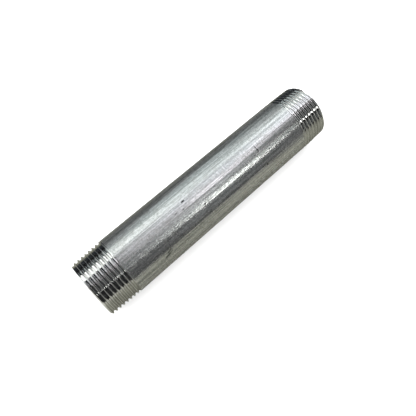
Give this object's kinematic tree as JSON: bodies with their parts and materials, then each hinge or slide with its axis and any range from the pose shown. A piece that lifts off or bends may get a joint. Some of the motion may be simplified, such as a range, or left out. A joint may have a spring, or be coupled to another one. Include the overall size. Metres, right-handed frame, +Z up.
{
  "type": "threaded pipe nipple",
  "caption": "Straight steel pipe nipple with a right-hand taper pipe thread, lead-in chamfer and flat cut face at each end, and an open bore.",
  "frame": {"origin": "the middle of the pipe's axis, halfway between the two end faces", "axes": "+X along the pipe's axis towards the far end; the pipe lies on its side with +Z up"},
  "size_m": [0.127, 0.0266, 0.0266],
  "materials": {
    "stainless_steel": "satin, with fine streaks along the pipe; bright where the threads and end faces are cut"
  },
  "bodies": {
    "root": {"threaded_pipe": "stainless_steel"}
  },
  "joints": []
}
